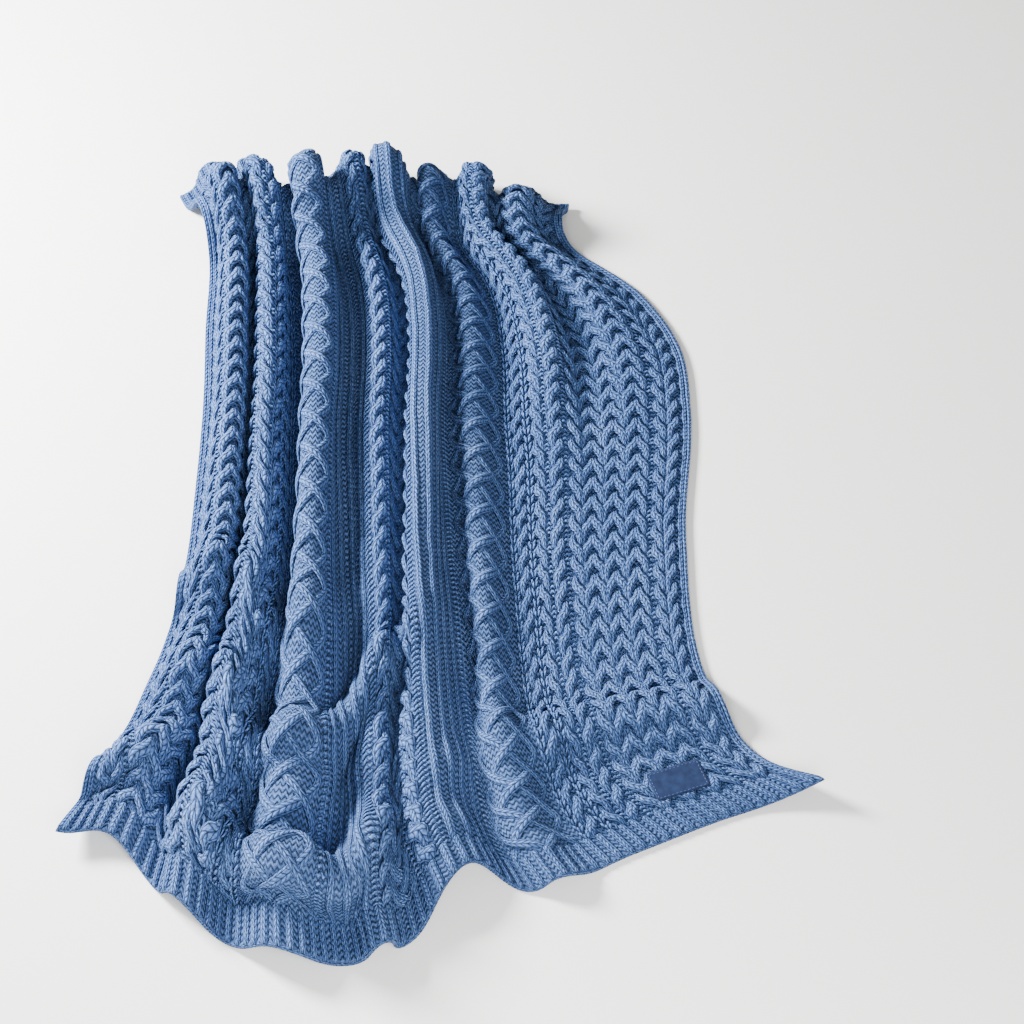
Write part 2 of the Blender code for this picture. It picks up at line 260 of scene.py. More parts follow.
def cross_folds(across, along):
    """The cloth's way along its length at each column: the share of the level distance that is
    behind each point, and how high the cross folds lift it."""
    step = LENGTH / TUCK_STEPS
    fine = (np.arange(TUCK_STEPS) + 0.5) * step
    slopes = np.zeros((len(across), TUCK_STEPS))
    for tuck in TUCKS:
        here = ease((across - tuck.begins) / (tuck.full - tuck.begins))
        here = here * (1 - ease((across - tuck.fades) / (tuck.ends - tuck.fades)))
        for i, strength in enumerate(here):
            centre = tuck.along + tuck.slant * across[i]
            t = (fine - centre) / tuck.width + 0.5
            inside = (t > 0) & (t < 1)
            steepest = max(math.radians(tuck.degrees) * strength, LEAST_SLOPE)
            slopes[i, inside] += fold_angles(t[inside], steepest, tuck.lean)
    level, rise = running(slopes, step, 1)
    grid = np.arange(TUCK_STEPS + 1) * step
    share = np.array([np.interp(along, grid, row / row[-1]) for row in level])
    lift = np.array([np.interp(along, grid, row) for row in rise])
    return share, np.maximum(lift, 0.0)

def bilinear(table, row, column):
    """Reads a table between its rows and columns, at fractional places."""
    i = np.clip(row.astype(int), 0, table.shape[0] - 2)
    j = np.clip(column.astype(int), 0, table.shape[1] - 2)
    a, b = row - i, column - j
    top = table[i, j] * (1 - b) + table[i, j + 1] * b
    bottom = table[i + 1, j] * (1 - b) + table[i + 1, j + 1] * b
    return top * (1 - a) + bottom * a

def curled(across, along):
    """How far the curling corners lift each point."""
    lift = np.zeros((len(across), len(along)))
    for curl in CURLS:
        away = np.hypot(across[:, None] - curl.across, along[None, :] - curl.along)
        lift += curl.height * np.clip(1 - away / curl.reach, 0, 1) ** 2
    return lift

def hem_wave(waves, across, away):
    """How far a hem's waves move the cloth. They die away as `away` goes from nought to one."""
    forward = curve_through(list(waves), list(waves.values()), across)
    return forward * np.clip(1 - away, 0, 1) ** WAVE_FADE

def draped():
    """The middle of the cloth's thickness as it lies, on an even grid: columns across the cloth,
    then rows along it."""
    across = np.linspace(0, WIDTH, GRID_ACROSS + 1)
    along = np.linspace(0, LENGTH, GRID_ALONG + 1)
    level, height = long_folds(np.linspace(0, 1, FINE_ROWS))
    share, lift = cross_folds(across, along)
    row = share * (FINE_ROWS - 1)
    column = np.broadcast_to((across / WIDTH * FINE_STEPS)[:, None], share.shape)
    t = bilinear(level, row, column)
    left_x, left_y, right_x, right_y, bow = (station_at(n, share) for n in Station._fields[1:6])
    x = left_x + (right_x - left_x) * t
    y = left_y + (right_y - left_y) * t - bow * np.sin(math.pi * t**BOW_SKEW)
    y = y - hem_wave(HEM_WAVES, t, share / WAVE_REACH)
    y = y + hem_wave(FAR_WAVES, t, (1 - share) / FAR_REACH)
    z = bilinear(height, row, column) + lift + curled(across, along) + GROUND / 2
    points = np.stack([x, y, z], axis=-1) - np.array([*MIDDLE, 0.0])
    for _ in range(SOFTENINGS):
        points = softened(softened(points, 0), 1)
    return points

def softened(points, axis):
    """Each point moved towards the middle of its two neighbours, as thick yarn rounds a crease."""
    p = np.moveaxis(points, axis, 0)
    p = np.concatenate([2 * p[:1] - p[1:2], p, 2 * p[-1:] - p[-2:-1]])
    return np.moveaxis((p[:-2] + 2 * p[1:-1] + p[2:]) / 4, 0, axis)

def facing(points):
    """The direction in which the cloth's face looks at each point."""
    across = np.gradient(points, axis=0)
    along = np.gradient(points, axis=1)
    out = np.cross(across, along)
    return out / np.linalg.norm(out, axis=-1, keepdims=True)

# %% [markdown]
# ## Read any place on the cloth
#
# Everything that follows is placed in the knitter's own terms: so far across, so far along, and
# so high above the ground. `on_cloth` turns these three into a point in space. It reads the grid
# on a smooth curve, so that a cable that runs over a fold stays round.

# %% Points on the cloth
# The small creases, which the solids leave out, most of them in the heaped end: the middle of
# each ridge, its direction in degrees from the hem, its half length, half width and height
CREASES = [
    (0.095, 0.215, 34, 0.150, 0.027, 0.0093),
    (0.130, 0.110, -22, 0.120, 0.024, 0.0076),
    (0.205, 0.300, -40, 0.140, 0.030, 0.0085),
    (0.255, 0.170, 52, 0.130, 0.027, 0.0102),
    (0.330, 0.095, 12, 0.130, 0.026, 0.0093),
    (0.345, 0.270, 28, 0.160, 0.030, 0.0102),
    (0.430, 0.190, -48, 0.130, 0.027, 0.0102),
    (0.470, 0.075, -15, 0.110, 0.024, 0.0076),
    (0.520, 0.310, -30, 0.150, 0.030, 0.0085),
    (0.560, 0.150, 40, 0.130, 0.027, 0.0102),
    (0.650, 0.240, 62, 0.130, 0.030, 0.0093),
    (0.690, 0.110, -34, 0.120, 0.027, 0.0093),
    (0.770, 0.200, 24, 0.140, 0.030, 0.0085),
    (0.850, 0.110, -50, 0.110, 0.027, 0.0076),
    (0.930, 0.190, 38, 0.130, 0.032, 0.0076),
    (0.960, 0.130, -12, 0.110, 0.032, 0.0068),
    (0.160, 0.430, 66, 0.160, 0.032, 0.0076),
    (0.480, 0.440, 72, 0.150, 0.032, 0.0068),
    (0.390, 1.300, 80, 0.160, 0.030, 0.0068),
    (0.700, 1.260, 100, 0.170, 0.030, 0.0068),
]

# How far a ridge bends aside along its length, how soon it tapers off, and how often the
# directions are evened out with their neighbours
CREASE_BEND = 0.8
CREASE_TAPER = 1.5
STEADYINGS = 8

def creased(points):
    """The cloth with its small creases pushed up."""
    s = np.linspace(0, WIDTH, GRID_ACROSS + 1)[:, None]
    v = np.linspace(0, LENGTH, GRID_ALONG + 1)[None, :]
    rise = np.zeros(points.shape[:2])
    for across, along, degrees, half_length, half_width, height in CREASES:
        turn = math.radians(degrees)
        x, y = s - across, v - along
        ahead = (x * math.cos(turn) + y * math.sin(turn)) / half_length
        aside = (y * math.cos(turn) - x * math.sin(turn)) / half_width
        bend = aside - CREASE_BEND * ahead**2
        taper = np.clip(1 - ahead**2, 0, 1) ** CREASE_TAPER
        rise += height * np.exp(-(bend**2)) * taper
    return points + facing(points) * rise[..., None]

def steadied(directions):
    """Directions evened out over 4 cm, so that raised knit doesn't splay out on a sharp crest."""
    for _ in range(STEADYINGS):
        directions = softened(softened(directions, 0), 1)
    return directions / np.linalg.norm(directions, axis=-1, keepdims=True)

BARE_CLOTH = draped()
CLOTH = creased(BARE_CLOTH)
OUTWARD = steadied(facing(CLOTH))

def curve_weights(t):
    """The shares of four neighbours on a curve, t of the way from the second to the third."""
    return (
        0.5 * t * (t * (2 - t) - 1),
        0.5 * (t * t * (3 * t - 5) + 2),
        0.5 * t * (t * (4 - 3 * t) + 1),
        0.5 * t * t * (t - 1),
    )

def cubic(table, row, column):
    """Reads a table of points between its rows and columns, on a smooth curve."""
    i = np.clip(np.floor(row).astype(int), 0, table.shape[0] - 2)
    j = np.clip(np.floor(column).astype(int), 0, table.shape[1] - 2)
    total = 0.0
    for di, row_share in enumerate(curve_weights(row - i)):
        near_row = np.clip(i + di - 1, 0, table.shape[0] - 1)
        for dj, share in enumerate(curve_weights(column - j)):
            near_column = np.clip(j + dj - 1, 0, table.shape[1] - 1)
            total = total + table[near_row, near_column] * (row_share * share)[..., None]
    return total

def on_cloth(across, along, lift):
    """Points at these places on the cloth, raised by so much above the ground's face."""
    row, column = across / WIDTH * GRID_ACROSS, along / LENGTH * GRID_ALONG
    out = cubic(OUTWARD, row, column)
    out /= np.linalg.norm(out, axis=-1, keepdims=True)
    points = cubic(CLOTH, row, column) + out * (GROUND / 2 + lift)[..., None]
    points[..., 2] = np.maximum(points[..., 2], 0.0)
    return points

# %% [markdown]
# ## From arrays to a mesh
#
# A knit repeats its few shapes thousands of times, so the pieces are made from arrays of points.
# Each mesh also gets a UV map, because the yarn pattern has to follow the cloth: in stitches
# across and rows along on all that stands up, and in metres on the ground.

# %% Build a mesh from arrays
def mesh_piece(name, points, faces, caps, uvs):
    """A smooth closed mesh from its points, its four-sided faces, its end faces and its UVs."""
    mesh = bpy.data.meshes.new(name)
    mesh.from_pydata(points.reshape(-1, 3).tolist(), [], faces.tolist() + caps)
    layer = mesh.uv_layers.new(name="knit")
    flat = np.zeros((len(mesh.loops), 2), np.float32)
    flat[: len(uvs)] = uvs
    layer.data.foreach_set("uv", flat.ravel())
    mesh.shade_smooth()
    piece = bpy.data.objects.new(name, mesh)
    bpy.context.scene.collection.objects.link(piece)
    print(f"{name}: {sum(len(face.vertices) - 2 for face in mesh.polygons)} triangles")
    return piece

def slab(name, x, y, top, under):
    """A closed sheet from the grids of its two faces, with a UV map in metres."""
    number = np.arange(x.size).reshape(x.shape)
    ring = [number[:-1, :-1], number[1:, :-1], number[1:, 1:], number[:-1, 1:]]
    face = np.stack(ring, axis=-1).reshape(-1, 4)
    edge = np.concatenate([number[:, 0], number[-1, 1:], number[-2::-1, -1], number[0, -2:0:-1]])
    after = np.roll(edge, -1)
    rim = np.stack([after, edge, edge + x.size, after + x.size], axis=-1)
    faces = np.concatenate([face, face[:, ::-1] + x.size, rim])
    places = np.stack([x.ravel(), y.ravel()], axis=-1)
    uvs = np.concatenate([places, places])[faces.ravel()]
    return mesh_piece(name, np.stack([top, under]), faces, [], uvs)

# %% [markdown]
# ## The ground
#
# Between the cables the face of the cloth is purl: short level bumps in wavy rows. The ground
# here is the bare cloth, 5 mm thick, with a face, a back and an edge. Its bumps are finer than
# the mesh, so the yarn material draws them.

# %% Knit the ground
GROUND_ACROSS = 190
GROUND_ALONG = 210

def knit_ground():
    """The bare cloth. Where its back comes near the floor, it lies flat on it."""
    across = np.linspace(0, WIDTH, GROUND_ACROSS)
    along = np.linspace(0, LENGTH, GROUND_ALONG)
    s, v = np.meshgrid(across, along, indexing="ij")
    face = on_cloth(s, v, np.zeros(s.shape))
    back = on_cloth(s, v, np.full(s.shape, -GROUND))
    back[..., 2] = np.where(back[..., 2] < SETTLED, 0.0, back[..., 2])
    return slab("purl_ground", s, v, face, back)

ground = knit_ground()

# %% [markdown]
# ## Where the patch goes
#
# The small suede patch is sewn on last, but its place has to be known now, because it holds the
# cables under it down. Like the solids, it lies on the cloth as it was before the small creases.

# %% Find the place of the patch
def patch_frame():
    """The middle of the patch, and how far it is turned from the X axis, in radians."""
    across = PATCH_ACROSS + PATCH_WIDTH * np.array([-0.25, 0.0, 0.25])
    column = across / WIDTH * GRID_ACROSS
    row = np.full(3, PATCH_ALONG) / LENGTH * GRID_ALONG
    read = [bilinear(BARE_CLOTH[..., i], column, row) for i in range(3)]
    left, place, right = np.stack(read, axis=-1)
    place[2] += GROUND / 2 + CABLE_RISE + SEAT_GAP + PATCH_THICK / 2
    sideways = right - left
    return place, math.atan2(sideways[1], sideways[0])

PATCH_PLACE, PATCH_TURN = patch_frame()
PATCH_SAG = 0.0003

# %% [markdown]
# ## A band of knitting
#
# A cable is a narrow band of smooth knitting that wanders over its neighbour. All raised parts
# of this blanket are such bands: cables, plait, lattice, ribs, edges and even single big
# stitches. `bands` sweeps a cushion-shaped outline along many paths at once. The underside is
# flatter than the top, and no part reaches the back of the cloth.
#
# The real knit has rows of about 6.8 mm. From the camera's place they would blur into an even
# tone, so all stitches here are drawn about a quarter coarser, at 8.4 mm a row.

# %% Sweep bands over the cloth
# A row of stitches, how flat the underside is beside the top, and how low a band may reach
ROW_HEIGHT = 0.0084
UNDERSIDE = 0.6
LOWEST = -0.0042

# Below the patch the knit stays this far under it, and beyond its edge, with a margin, it may
# rise this steeply.
UNDER_PATCH = 0.0003
PRESS_MARGIN = 0.002
PRESS_RISE = 1.2

def pressed(points):
    """The points, held down where the sewn patch lies over them."""
    c, s = math.cos(PATCH_TURN), math.sin(PATCH_TURN)
    x, y = points[..., 0] - PATCH_PLACE[0], points[..., 1] - PATCH_PLACE[1]
    beside = np.abs(c * x + s * y) - PATCH_WIDTH / 2
    before = np.abs(c * y - s * x) - PATCH_DEPTH / 2
    beyond = np.maximum(np.maximum(beside, before), 0.0)
    under = PATCH_PLACE[2] - PATCH_THICK / 2 - PATCH_SAG - UNDER_PATCH
    ceiling = under + PRESS_RISE * np.maximum(beyond - PRESS_MARGIN, 0)
    points[..., 2] = np.minimum(points[..., 2], ceiling)
    return points

def tube_faces(count, stations, sides):
    """The number of each point of so many tubes, their four-sided faces and their end faces."""
    number = np.arange(count * stations * sides).reshape(count, stations, sides)
    beyond = np.roll(number, -1, axis=2)
    ring = [number[:, :-1], number[:, 1:], beyond[:, 1:], beyond[:, :-1]]
    caps = number[:, 0].tolist() + number[:, -1, ::-1].tolist()
    return number, np.stack(ring, axis=-1).reshape(-1, 4), caps

def bands(name, across, along, lift, half_width, half_height, stitches, sides=8):
    """Raised bands along paths over the cloth: one path in each row of the arrays."""
    step_s, step_v = np.gradient(across, axis=1), np.gradient(along, axis=1)
    length = np.hypot(step_s, step_v)
    turn = np.arange(sides) / sides * 2 * math.pi
    sideways = np.cos(turn)
    upwards = np.where(np.sin(turn) > 0, np.sin(turn), UNDERSIDE * np.sin(turn))
    s = across[..., None] + (step_v / length * half_width)[..., None] * sideways
    v = along[..., None] - (step_s / length * half_width)[..., None] * sideways
    z = np.maximum(lift[..., None] + half_height[..., None] * upwards, LOWEST)
    points = pressed(on_cloth(s, v, z))
    number, faces, caps = tube_faces(*across.shape, sides)
    rows = np.cumsum(length, axis=1) / ROW_HEIGHT
    row_at = np.broadcast_to(rows[..., None], number.shape)
    stitch_at = np.broadcast_to(turn / math.pi * stitches, number.shape)
    stitch_on = stitch_at + 2 * stitches / sides
    u = np.stack([stitch_at[:, :-1], stitch_at[:, 1:], stitch_on[:, 1:], stitch_on[:, :-1]], -1)
    w = np.stack([row_at[:, :-1], row_at[:, 1:], row_at[:, 1:], row_at[:, :-1]], -1)
    uvs = np.stack([u.ravel(), w.ravel()], axis=-1)
    return mesh_piece(name, points, faces, caps, uvs)

# %% [markdown]
# ## Rope cables
#
# A rope cable is two bands that keep crossing in the same direction, so each of them is a flat
# helix. It runs over its partner in the middle of the column, swings out to the side, dives, and
# comes back underneath. Beside each other and crossing alternately to the right and to the left,
# seven such ropes make the zigzag panel. There they swing out so far that each limb runs into its
# neighbour's, and the eye reads wavy lines across the panel instead of ropes. Knitters turn a
# cable within one row, which makes the crossing steeper than a sine curve, hence the `tanh`.

# %% Twist the rope cables
CROSSING = 0.037
STEPS_PER_CROSSING = 10

# The cables run from hem to hem and start a little inside each. Over the last 12 mm a band sinks
# and shrinks: how far into its fade it ends, and the share of its width that is left there.
HEM_OVERLAP = 0.004
FIELD_START = HEM_LENGTH - HEM_OVERLAP
FIELD_END = LENGTH - HEM_LENGTH + HEM_OVERLAP
FADE_LENGTH = 0.012
FADE_START = 0.12
END_WIDTH = 0.4

# A rope's bands: how far the middle of the rope stands above the ground, how far a band rises
# and dives from there, its half height below and what it gains on top, and its half width where
# it dives, as a share of the rope's width
ROPE_LIFT = 0.0004
ROPE_DIVE = 0.0034
ROPE_HEIGHT = 0.0024
ROPE_CREST = 0.0021
DIVING_WIDTH = 0.19

# How uneven the knitting is: in the ropes' turning, sideways and in height
UNEVEN_TURN = 0.08
UNEVEN_ASIDE = 0.00025
UNEVEN_LIFT = 0.00015
rng = np.random.default_rng(11)

Rope = namedtuple("Rope", "centre width turn")
EDGE_PAIR = [Rope(0.0305, 0.021, -1), Rope(0.0515, 0.021, 1)]
ZIGZAG = [Rope(0.0820 + 0.0193 * i, 0.0193, 1 - 2 * (i % 2)) for i in range(7)]
INNER_ROPES = [Rope(0.231, 0.022, -1), Rope(0.260, 0.020, 1), Rope(0.294, 0.020, -1)]
MIDDLE_ROPES = [Rope(0.583, 0.022, 1), Rope(WIDTH - 0.583, 0.022, -1)]

def mirrored(ropes):
    """The same ropes, counted from the right selvedge and crossing the other way."""
    return [Rope(WIDTH - rope.centre, rope.width, -rope.turn) for rope in ropes]

def along_field(step):
    """Stations from hem to hem, at about this step."""
    return np.linspace(FIELD_START, FIELD_END, round((FIELD_END - FIELD_START) / step) + 1)

def fading_out(along):
    """One in the field, and down to almost nothing where a band runs out at either hem."""
    from_end = np.minimum(along - FIELD_START, FIELD_END - along)
    return ease(from_end / FADE_LENGTH + FADE_START)

def narrowed(fade, end_share):
    """The share of a band's width or height that is left as it fades out."""
    return end_share + (1 - end_share) * fade

def uneven(count, stations, amount, smooth=9):
    """Slow random wandering about nought, one row for each band."""
    raw = rng.standard_normal((count, stations + smooth * 2))
    kernel = np.hanning(smooth)
    kernel /= np.sqrt((kernel**2).sum())
    rows = [np.convolve(line, kernel, "same")[smooth : smooth + stations] for line in raw]
    return np.array(rows) * amount

def rope_cables(name, ropes, reach=0.27, steepness=2.3, fullness=0.39):
    """Two bands for each rope, half a turn apart. Reach and fullness are shares of its width: how
    far a band swings sideways, and half its own width where it is on top. Steepness is how
    sharply the bands cross."""
    step = CROSSING / STEPS_PER_CROSSING
    line = along_field(step)
    along = np.tile(line, (2 * len(ropes), 1))
    centre, width, turn = (np.repeat(values, 2)[:, None] for values in zip(*ropes))
    half_turn = np.tile([0.0, math.pi], len(ropes))[:, None]
    shape = along.shape
    angle = math.pi * along / CROSSING + half_turn + uneven(*shape, UNEVEN_TURN)
    swing = np.tanh(steepness * np.sin(angle)) / math.tanh(steepness)
    on_top = 0.5 - 0.5 * np.cos(angle)
    across = centre - turn * reach * width * swing + uneven(*shape, UNEVEN_ASIDE)
    fade = fading_out(along)
    lift = ROPE_LIFT - ROPE_DIVE * np.cos(angle) - ROPE_DIVE * (1 - fade)
    lift += uneven(*shape, UNEVEN_LIFT)
    share = DIVING_WIDTH + (fullness - DIVING_WIDTH) * on_top
    half_width = width * share * narrowed(fade, END_WIDTH)
    half_height = ROPE_HEIGHT + ROPE_CREST * on_top * fade
    return bands(name, across, along, lift, half_width, half_height, 2)

WIDE_AND_ROUND = {"reach": 0.38, "steepness": 1.5, "fullness": 0.45}
ropes = [
    rope_cables("zigzag_left", ZIGZAG, **WIDE_AND_ROUND),
    rope_cables("zigzag_right", mirrored(ZIGZAG), **WIDE_AND_ROUND),
    rope_cables("ropes_left", EDGE_PAIR + INNER_ROPES),
    rope_cables("ropes_right", mirrored(EDGE_PAIR + INNER_ROPES)),
    rope_cables("ropes_middle", MIDDLE_ROPES),
]

# %% [markdown]
# ## The lattice and the plait
#
# In the lattice, four bands two stitches wide cross a purl ladder in diamonds, each over one
# neighbour and under the next. Their paths are sine curves a quarter turn apart, straightened
# between the turning points, and a cosine at three times the rate gives the strict over and
# under. The plait in the middle has three bands a third of a turn apart, as in plaited hair.

# %% Weave the lattice and the plait
LATTICE_CENTRE = 0.384
LATTICE_REACH = 0.056
LATTICE_PERIOD = 0.224
LATTICE_HALF_WIDTH = 0.0072
PLAIT_REACH = 0.021
PLAIT_PERIOD = 0.120
PLAIT_HALF_WIDTH = 0.0100

# Both are woven: the step of a path, the height of its middle, how far it goes over and under,
# how far it sinks where it fades out, half its height, how nearly pointed its turns are, and how
# far it wanders aside
WOVEN_STEP = 0.0044
WOVEN_LIFT = 0.0006
WOVEN_OVER = 0.0020
WOVEN_SINK = 0.0030
WOVEN_HEIGHT = 0.0034
POINTEDNESS = 0.97
WANDERING = 0.0003

def straightened(angle):
    """A wave with straight flanks and round turning points."""
    return np.arcsin(POINTEDNESS * np.sin(angle)) / math.asin(POINTEDNESS)

def woven(name, centre, strands, period, reach, wave, over_under, half_width, stitches):
    """Bands that swing to and fro across a panel, passing over and under each other."""
    line = along_field(WOVEN_STEP)
    along = np.tile(line, (strands, 1))
    start = (np.arange(strands) / strands * 2 * math.pi)[:, None]
    angle = 2 * math.pi * along / period + start
    shape = along.shape
    across = centre + reach * wave(angle) + uneven(*shape, WANDERING)
    fade = fading_out(along)
    lift = WOVEN_OVER * over_under(angle) + WOVEN_LIFT - WOVEN_SINK * (1 - fade)
    wide = half_width * narrowed(fade, END_WIDTH)
    high = np.full(shape, WOVEN_HEIGHT)
    return bands(name, across, along, lift, wide, high, stitches)

def over_one_under_one(angle):
    """Up and down three times in a diamond's length, as the lattice needs."""
    return np.cos(3 * angle)

def over_and_back(angle):
    """Over on the way out and under on the way back, as in a plait."""
    return np.sin(2 * angle)

as_lattice = (
    4, LATTICE_PERIOD, LATTICE_REACH, straightened, over_one_under_one, LATTICE_HALF_WIDTH, 2
)
as_plait = (3, PLAIT_PERIOD, PLAIT_REACH, np.sin, over_and_back, PLAIT_HALF_WIDTH, 3)
lattices = [
    woven("lattice_left", LATTICE_CENTRE, *as_lattice),
    woven("lattice_right", WIDTH - LATTICE_CENTRE, *as_lattice),
]
plait = woven("plait", WIDTH / 2, *as_plait)

# %% [markdown]
# ## Ribs and edges
#
# A rib is the plainest band: a column of smooth stitches with purl on both sides. Four stand in
# each rib block, two run down each selvedge, and short ones fill the hems. The hems are ribbed
# because rib doesn't curl, and their ends have a firm bumpy row where the stitches were cast on
# and off.

# %% Run the ribs and the selvedges
Rib = namedtuple("Rib", "half_width half_height stitches step")
BLOCK_RIB = Rib(0.0062, 0.0036, 2, 0.0050)
SELVEDGE_RIB = Rib(0.0042, 0.0030, 1, 0.0050)
HEM_RIB = Rib(0.0058, 0.0046, 2, 0.0055)

# Where the ribs lie, from the left selvedge
BLOCK_RIBS = [0.4765 + 0.0237 * i for i in range(4)]
SELVEDGE_RIBS = [0.0025, 0.0105]
HEM_RIB_COUNT = 71
HEM_RIB_INSET = 0.0112
HEM_RIBS = np.linspace(HEM_RIB_INSET, WIDTH - HEM_RIB_INSET, HEM_RIB_COUNT)
SELVEDGE_ENDS = 0.001
HEM_RIB_ENDS = 0.0015

# How high a rib lies, and how it shrinks and sinks over its last 6 mm
RIB_LIFT = 0.0004
RIB_SINK = 0.0012
RIB_FADE = 0.006
RIB_START = 0.25
RIB_END_HEIGHT = 0.5
RIB_END_WIDTH = 0.6

def ribs(name, centres, rib, start, end):
    """Straight bands along the cloth."""
    line = np.linspace(start, end, round((end - start) / rib.step) + 1)
    along = np.tile(line, (len(centres), 1))
    across = np.array(centres)[:, None] + uneven(*along.shape, WANDERING)
    fade = ease(np.minimum(along - start, end - along) / RIB_FADE + RIB_START)
    lift = RIB_LIFT - RIB_SINK * (1 - fade)
    wide = rib.half_width * narrowed(fade, RIB_END_WIDTH)
    high = rib.half_height * narrowed(fade, RIB_END_HEIGHT)
    return bands(name, across, along, lift, wide, high, rib.stitches)

def from_right(centres):
    """The same places, counted from the right selvedge."""
    return [WIDTH - centre for centre in centres]

rib_blocks = [
    ribs("ribs_left", BLOCK_RIBS, BLOCK_RIB, FIELD_START, FIELD_END),
    ribs("ribs_right", from_right(BLOCK_RIBS), BLOCK_RIB, FIELD_START, FIELD_END),
]
both_selvedges = SELVEDGE_RIBS + from_right(SELVEDGE_RIBS)
selvedges = ribs("selvedges", both_selvedges, SELVEDGE_RIB, SELVEDGE_ENDS, LENGTH - SELVEDGE_ENDS)
hem_ribs = [
    ribs("hem_ribs_near", HEM_RIBS, HEM_RIB, HEM_RIB_ENDS, HEM_LENGTH),
    ribs("hem_ribs_far", HEM_RIBS, HEM_RIB, LENGTH - HEM_LENGTH, LENGTH - HEM_RIB_ENDS),
]

# %% Roll the cast-on and cast-off edges
# A round roll that swells at every stitch, sunk a little, and just inside the cloth's outline
CAST_STITCH = 0.0062
CAST_POINTS = 860
CAST_THICK = 0.0024
CAST_BUMP = 0.0011
CAST_LIFT = -0.0022
CAST_ENDS = 0.001
CAST_INSET = 0.0008

def cast_edge(name, along_at):
    """The bumpy row that ends the knitting."""
    across = np.linspace(CAST_ENDS, WIDTH - CAST_ENDS, CAST_POINTS)[None, :]
    along, lift = np.full(across.shape, along_at), np.full(across.shape, CAST_LIFT)
    thick = CAST_THICK + CAST_BUMP * np.abs(np.sin(math.pi * across / CAST_STITCH))
    return bands(name, across, along, lift, thick, thick, 1)

cast_edges = [
    cast_edge("cast_on_edge", CAST_INSET),
    cast_edge("cast_off_edge", LENGTH - CAST_INSET),
]

# %% [markdown]
# ## Chains of big stitches
#
# Between some cables runs a chain of slipped stitches, pulled so long that each one shows as a
# V of two fat legs. They are too big for a pattern, so each leg is a band of its own.

# %% Lay the chains
CHAIN_CENTRES = [0.277, 0.3105]
CHAIN_STEP = 0.0165
CHAIN_START = 0.002
CHAIN_END = 0.018

# One leg: its points, its length, how far its foot lies from the chain's middle and how far it
# spreads from there, how high it arches, its half width and half height, and how early it bends
LEG_POINTS = 7
LEG_LENGTH = 0.0190
LEG_FOOT = 0.0012
LEG_SPREAD = 0.0046
LEG_ARCH = 0.0030
LEG_LIFT = 0.0004
LEG_HALF_WIDTH = 0.0029
LEG_HALF_HEIGHT = 0.0028
LEG_BEND = 0.8
UNEVEN_LEG = 0.0002

# A leg is thickest in the middle: the part of a half wave that its thickness follows
SWELL_START = 0.12
SWELL_SPAN = 0.80

def chain_legs(name, centres):
    """Two legs for each big stitch, down every chain."""
    starts = np.arange(FIELD_START + CHAIN_START, FIELD_END - CHAIN_END, CHAIN_STEP)
    centre, start, side = np.meshgrid(centres, starts, [-1.0, 1.0], indexing="ij")
    centre, start, side = (x.reshape(-1, 1) for x in (centre, start, side))
    t = np.linspace(0, 1, LEG_POINTS)[None, :]
    wander = uneven(len(start), LEG_POINTS, UNEVEN_LEG)
    across = centre + side * (LEG_FOOT + LEG_SPREAD * t**LEG_BEND) + wander
    along = start + LEG_LENGTH * t
    lift = LEG_ARCH * np.sin(math.pi * t**LEG_BEND) + LEG_LIFT + 0 * start
    swell = np.sin(math.pi * (SWELL_START + SWELL_SPAN * t)) + 0 * start
    half_width, half_height = LEG_HALF_WIDTH * swell, LEG_HALF_HEIGHT * swell
    return bands(name, across, along, lift, half_width, half_height, 0.5, sides=6)

chains = [
    chain_legs("chains_left", CHAIN_CENTRES),
    chain_legs("chains_right", from_right(CHAIN_CENTRES)),
]

# %% [markdown]
# ## Purl ladders
#
# The narrow gutters between the cables are two or three purl stitches wide, and the cables pull
# them apart, so each row shows as a short bowed rung with a dark gap above it. The eye reads
# these gutters as ladders. The rungs are single fat strands, each a short band across its gutter.

# %% Lay the rungs
# The rungs' spacing, how far they stay inside the field, and one rung: its points, how far and in
# how many half waves it bows along the cloth, how high it arches, its half width and flatness
RUNG_STEP = 0.0086
RUNG_INSET = 0.004
RUNG_POINTS = 6
RUNG_BOW = 0.0016
RUNG_WAVES = 1.6
RUNG_ARCH = 0.0010
RUNG_LIFT = -0.0004
RUNG_HALF_WIDTH = 0.0027
RUNG_FLATNESS = 0.8
UNEVEN_RUNG = 0.0001

# The gutters between the cables: the middle of each, from the left selvedge, and its width
GUTTERS = [
    (0.0650, 0.011), (0.2155, 0.011), (0.2455, 0.010),
    (0.4580, 0.015), (0.5635, 0.013), (0.6000, 0.010),
]

def ladder_rungs(name, gutters):
    """One bowed rung for each row of each gutter."""
    rows = np.arange(FIELD_START + RUNG_INSET, FIELD_END - RUNG_INSET, RUNG_STEP)
    centre, width = (np.repeat(values, len(rows))[:, None] for values in zip(*gutters))
    row = np.tile(rows, len(gutters))[:, None]
    t = np.linspace(-1, 1, RUNG_POINTS)[None, :]
    shape = (len(row), RUNG_POINTS)
    across = centre + width / 2 * t + uneven(*shape, UNEVEN_RUNG)
    along = row + RUNG_BOW * np.cos(RUNG_WAVES * math.pi * t) + uneven(*shape, 2 * UNEVEN_RUNG)
    lift = RUNG_ARCH * np.cos(0.5 * math.pi * t) + RUNG_LIFT + 0 * row
    thick = np.full(shape, RUNG_HALF_WIDTH)
    return bands(name, across, along, lift, thick, RUNG_FLATNESS * thick, 0.5, sides=6)

ladders = [
    ladder_rungs("ladders_left", GUTTERS),
    ladder_rungs("ladders_right", [(WIDTH - centre, width) for centre, width in GUTTERS]),
]

